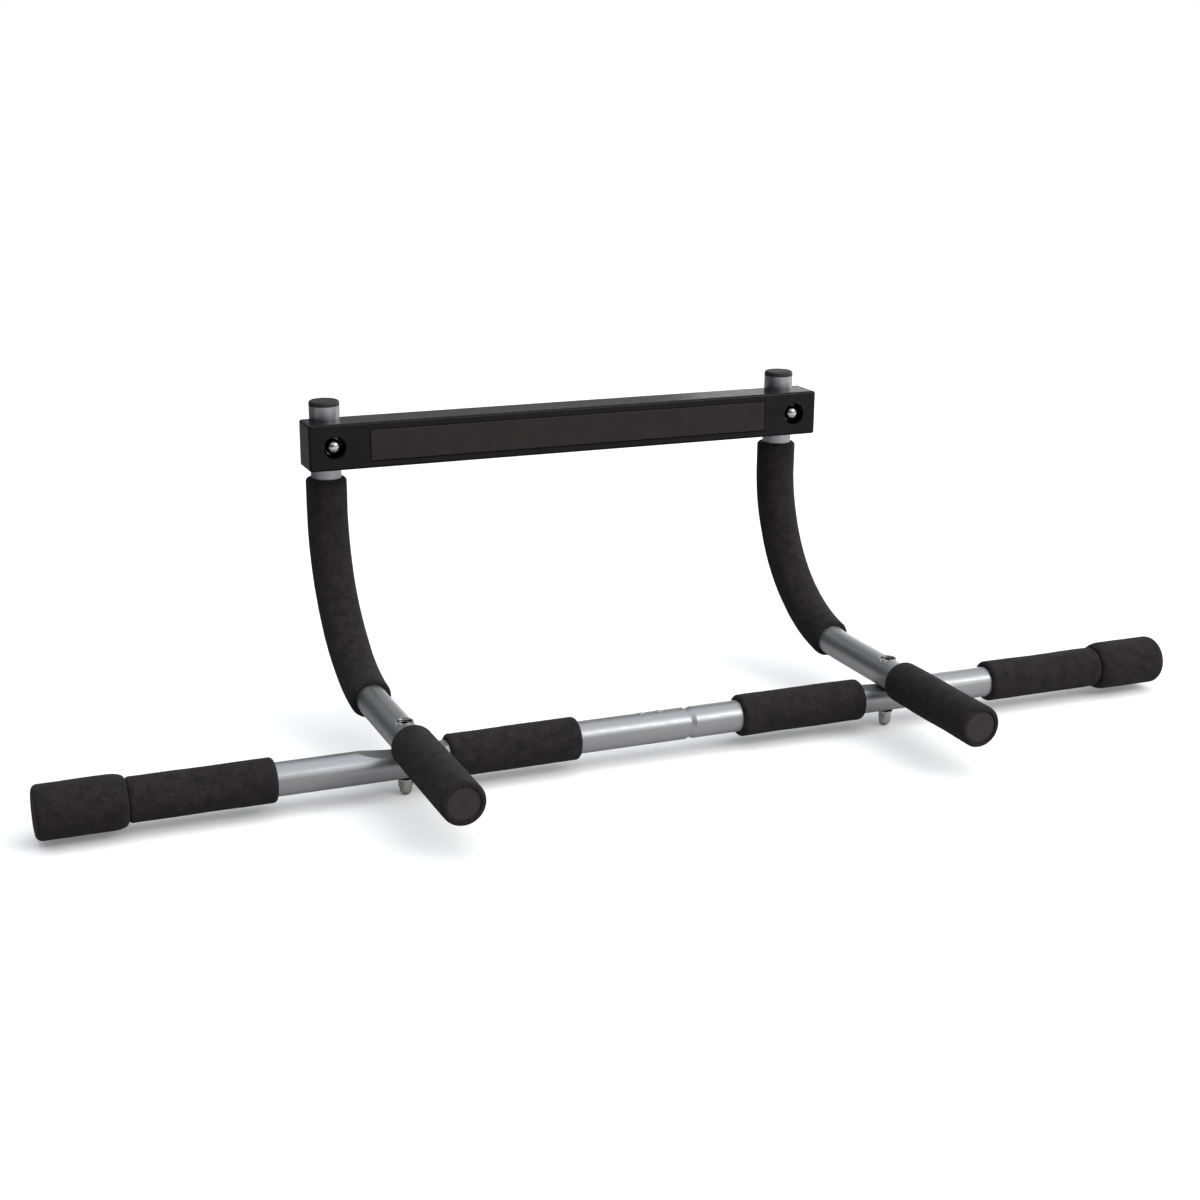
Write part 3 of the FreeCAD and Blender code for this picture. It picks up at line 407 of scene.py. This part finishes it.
def cuff_profile(side, length, bore, radius, grip_radius, bore_end):
    """A closed cuff: end face, rounded rim, long soft shoulder, then back along its bore."""
    rim = CUFF_ROUND[side]
    root = grip_radius - CUFF_CREASE
    profile = [(length, 0)] + evenly((length, INNER_RING), (length, radius - rim))
    profile += corner((length, radius - rim), (length - rim, radius), radius_first=True)
    profile += evenly((length - rim, radius), (CUFF_SHOULDER, radius))
    profile += corner((CUFF_SHOULDER, radius), (0, root), radius_first=False)
    profile += evenly((0, root), (0, bore), FACE_STEP)
    profile += evenly((0, bore), (bore_end, bore), BORE_STEP)[1:]
    return profile + [(bore_end, 0)]


# ------------------------------------------------------------------ meshes
def unevenness(seed, distance, angle, radius):
    """How far hand-fitted foam stands off its true shape: slow swells and a fine ripple."""
    where = Vector((distance, math.cos(angle) * radius, math.sin(angle) * radius))
    offset = Vector((seed * SEED_SPACING, 0, 0))
    swell = noise.noise(where / SWELL_LENGTH + offset) * SWELL_HEIGHT
    ripple = noise.noise(where / RIPPLE_LENGTH + offset) * RIPPLE_HEIGHT
    return (swell + ripple) * min(1, radius / FADE_RADIUS)


def sweep(name, path, profile, seed, closed):
    """A skin swept round a path from (distance, radius) points.

    A radius of 0 closes an end, and a closed profile joins its last ring to its first.
    """
    mesh = bmesh.new()
    rings = []
    for distance, radius in profile:
        place, side, up = path(distance)
        if radius == 0:
            rings.append([mesh.verts.new(place)])
            continue
        ring = []
        for index in range(RING_COUNT):
            angle = 2 * math.pi * index / RING_COUNT
            reach = radius + unevenness(seed, distance, angle, radius)
            ring.append(mesh.verts.new(place + (side * math.cos(angle) + up * math.sin(angle)) * reach))
        rings.append(ring)
    pairs = list(zip(rings, rings[1:]))
    if closed:
        pairs.append((rings[-1], rings[0]))
    for near, far in pairs:
        for index in range(RING_COUNT):
            following = (index + 1) % RING_COUNT
            corners = [near[index % len(near)], near[following % len(near)],
                       far[following % len(far)], far[index % len(far)]]
            mesh.faces.new(list(dict.fromkeys(corners)))
    return finish_mesh(name, mesh)


def finish_mesh(name, mesh):
    """The object of a finished mesh, with its faces outward and smooth."""
    bmesh.ops.recalc_face_normals(mesh, faces=mesh.faces)
    data = bpy.data.meshes.new(name)
    mesh.to_mesh(data)
    mesh.free()
    for face in data.polygons:
        face.use_smooth = True
    piece = bpy.data.objects.new(name, data)
    bpy.context.scene.collection.objects.link(piece)
    return piece


def dress(piece, node, material):
    """Everything that one padded piece needs to stand for its CAD node."""
    piece.data.materials.append(material)
    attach(piece, "root")
    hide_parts(node)


def middle_and_size(node):
    """The middle and the size of a node's box."""
    low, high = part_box(node)
    return (low + high) / 2, high - low


# ------------------------------------------------------------------ foam pieces
def make_sleeve(node, path, length, bore, radius, seed, foam):
    """One foam sleeve along a path."""
    sleeve = sweep(f"{node}_foam", path, sleeve_profile(length, bore, radius), seed, closed=True)
    dress(sleeve, node, foam)


def make_bar_grips(foam, bore):
    """Four sleeves along the long bar."""
    nodes = [f"{kind}_grip_{side}" for kind in ("inner", "outer") for side in SIDES]
    for seed, node in enumerate(nodes, start=1):
        middle, size = middle_and_size(node)
        path = straight_path(middle - Vector((size.x / 2, 0, 0)), (1, 0, 0))
        make_sleeve(node, path, size.x, bore, size.z / 2, seed, foam)


def make_front_grips(foam, bore):
    """The straight sleeves on the front handles."""
    for seed, side in enumerate(SIDES, start=11):
        node = f"front_grip_{side}"
        middle, size = middle_and_size(node)
        path = straight_path(middle + Vector((0, size.y / 2, 0)), (0, -1, 0))
        make_sleeve(node, path, size.y, bore, size.z / 2, seed, foam)


def make_curve_pads(foam, bore):
    """Foam over both bends, up to just below the crossbar."""
    for seed, side in enumerate(SIDES, start=21):
        node = f"curve_pad_{side}"
        low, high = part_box(node)
        tube_low, tube_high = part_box(f"bent_tube_{side}")
        tube_radius = (tube_high.x - tube_low.x) / 2
        centre = Vector(((low.x + high.x) / 2, tube_high.y - tube_radius - BEND_RADIUS,
                         tube_low.z + tube_radius + BEND_RADIUS))
        turn = PAD_TURN[side]
        length = BEND_RADIUS * math.radians(90 - turn) + high.z - centre.z
        make_sleeve(node, bend_path(centre, turn), length, bore, (high.x - low.x) / 2, seed, foam)


def make_cuffs(foam, bore):
    """The thick cuffs that close the long bar's ends."""
    for seed, (side, sign) in enumerate(SIDES.items(), start=31):
        node = f"end_cuff_{side}"
        middle, size = middle_and_size(node)
        start = middle - Vector((sign * size.x / 2, 0, 0))
        grip_radius = middle_and_size(f"outer_grip_{side}")[1].z / 2
        plug_low, plug_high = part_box(f"bar_end_plug_{side}")
        bore_end = abs((plug_high if sign > 0 else plug_low).x - start.x)
        profile = cuff_profile(side, size.x, bore, size.z / 2, grip_radius, bore_end)
        cuff = sweep(f"{node}_foam", straight_path(start, (sign, 0, 0)), profile, seed, closed=False)
        dress(cuff, node, foam)


# ------------------------------------------------------------------ wall pad
def edge_spaced(low, high, step):
    """Coordinates across a width, close together where its edges round over."""
    fine = [PAD_ROUND * (1 - math.cos(math.radians(angle))) for angle in PAD_ROUND_ANGLES]
    inner_low, inner_high = low + 2 * PAD_ROUND, high - 2 * PAD_ROUND
    count = round((inner_high - inner_low) / step)
    middle = [inner_low + (inner_high - inner_low) * index / count for index in range(count + 1)]
    return [low + inset for inset in fine] + middle + [high - inset for inset in reversed(fine)]


def make_wall_pad(rubber):
    """The strip that bears on the wall: rounded edges and a slightly uneven face."""
    low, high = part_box("crossbar_pad")
    columns = edge_spaced(low.x, high.x, PAD_COLUMN_STEP)
    rows = edge_spaced(low.z, high.z, PAD_ROW_STEP)

    def front(x, z):
        inset = min(x - low.x, high.x - x, z - low.z, high.z - z, PAD_ROUND)
        drop = PAD_ROUND - math.sqrt(PAD_ROUND ** 2 - (PAD_ROUND - inset) ** 2)
        wave = (noise.noise(Vector((x, 0, z)) / PAD_WAVE_LENGTH) + 1) * PAD_WAVE_HEIGHT
        return low.y + drop + wave

    mesh = bmesh.new()
    grid = [[mesh.verts.new((x, front(x, z), z)) for z in rows] for x in columns]
    for near, far in zip(grid, grid[1:]):
        for index in range(len(rows) - 1):
            mesh.faces.new((near[index], far[index], far[index + 1], near[index + 1]))
    back = bmesh.ops.extrude_face_region(mesh, geom=list(mesh.faces))
    for vertex in back["geom"]:
        if isinstance(vertex, bmesh.types.BMVert):
            vertex.co.y = high.y
    strip = finish_mesh("wall_pad_strip", mesh)
    dress(strip, "crossbar_pad", rubber)


# ------------------------------------------------------------------ CAD nodes
def paint_nodes(foam, rubber):
    """Give every CAD node the material of its family.  A name takes the first start that fits."""
    paint, plug, zinc = tube_material(), plug_material(), zinc_material()
    families = {
        "long_bar": paint, "bent_tube": paint,
        # the crossbar washer is zinc steel, but takes the dark plug plastic as painted shade in its recess
        "top_plug": plug, "front_plug": plug, "bar_end_plug": plug, "crossbar_washer": plug,
        "crossbar_shell": moulding_material(), "crossbar_core": strip_material(), "crossbar_pad": rubber,
        "joint_screw": zinc, "crossing": zinc, "crossbar": zinc}
    for name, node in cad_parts.items():
        finish = next((families[start] for start in families if name.startswith(start)), foam)
        node.data.materials.clear()
        node.data.materials.append(finish)


# ------------------------------------------------------------------ stage
def make_floor(level):
    """A wide white floor that the lowest piece touches."""
    mesh = bmesh.new()
    bmesh.ops.create_grid(mesh, x_segments=1, y_segments=1, size=FLOOR_SIZE)
    floor = finish_mesh("floor", mesh)
    floor.location.z = level
    floor.data.materials.append(floor_material())


def make_camera():
    """The photograph's view: from the left front, looking a little down."""
    data = bpy.data.cameras.new("camera")
    data.lens = CAMERA_LENS
    data.sensor_width = CAMERA_SENSOR
    camera = bpy.data.objects.new("camera", data)
    turn = Matrix.Rotation(-math.radians(CAMERA_TURN), 4, "Z")
    tilt = Matrix.Rotation(math.radians(90 - CAMERA_DOWN), 4, "X")
    roll = Matrix.Rotation(math.radians(CAMERA_ROLL), 4, "Z")
    camera.matrix_world = Matrix.Translation(CAMERA_PLACE) @ turn @ tilt @ roll
    bpy.context.scene.collection.objects.link(camera)
    bpy.context.scene.camera = camera


def make_light(name, kind, place, energy, **settings):
    """A lamp aimed at the object."""
    data = bpy.data.lights.new(name, kind)
    data.energy = energy
    for setting, value in settings.items():
        setattr(data, setting, value)
    lamp = bpy.data.objects.new(name, data)
    lamp.location = place
    lamp.rotation_euler = (Vector(LIGHT_AIM) - Vector(place)).to_track_quat("-Z", "Y").to_euler()
    bpy.context.scene.collection.objects.link(lamp)
    return lamp


def make_lights():
    """A soft key light for the shadows, and softboxes for the tubes' highlights."""
    key = make_light("key", "SUN", KEY_PLACE, KEY_STRENGTH, angle=math.radians(KEY_SPREAD))
    key.visible_glossy = False
    for name, place, power, width, height in SOFTBOXES:
        make_light(name, "AREA", place, power, shape="RECTANGLE", size=width, size_y=height)


def make_world():
    """White to the eye; to everything else a room with a pale ceiling, darker on the left."""
    world = bpy.data.worlds.new("studio")
    world.use_nodes = True
    tree = world.node_tree
    backdrop = tree.nodes["Background"]
    where = tree.nodes.new("ShaderNodeTexCoord")
    split = tree.nodes.new("ShaderNodeSeparateXYZ")
    tree.links.new(where.outputs["Generated"], split.inputs["Vector"])
    height = spread(tree, split.outputs["Z"], 0.4, 1)
    across = spread(tree, split.outputs["X"], -0.6, 0.7)
    sides = tinted(tree, across, ROOM_LEFT, ROOM_RIGHT)
    room = tinted(tree, height, sides, ROOM_CEILING)
    sight = tree.nodes.new("ShaderNodeLightPath")
    seen = tinted(tree, sight.outputs["Is Camera Ray"], room, WHITE)
    tree.links.new(seen, backdrop.inputs["Color"])
    bpy.context.scene.world = world
    bpy.context.scene.view_settings.view_transform = "Standard"


make_camera()
make_world()
make_lights()
make_floor(cad_box[0].z)

foam = foam_material()
rubber = wall_pad_material()
paint_nodes(foam, rubber)

# the foam's bores are the outsides of the tubes it sits on
bar_bore = middle_and_size("bar_end_plug_left")[1].z / 2
leg_bore = middle_and_size("bent_tube_left")[1].x / 2
make_bar_grips(foam, bar_bore)
make_cuffs(foam, bar_bore)
make_front_grips(foam, leg_bore)
make_curve_pads(foam, leg_bore)
make_wall_pad(rubber)
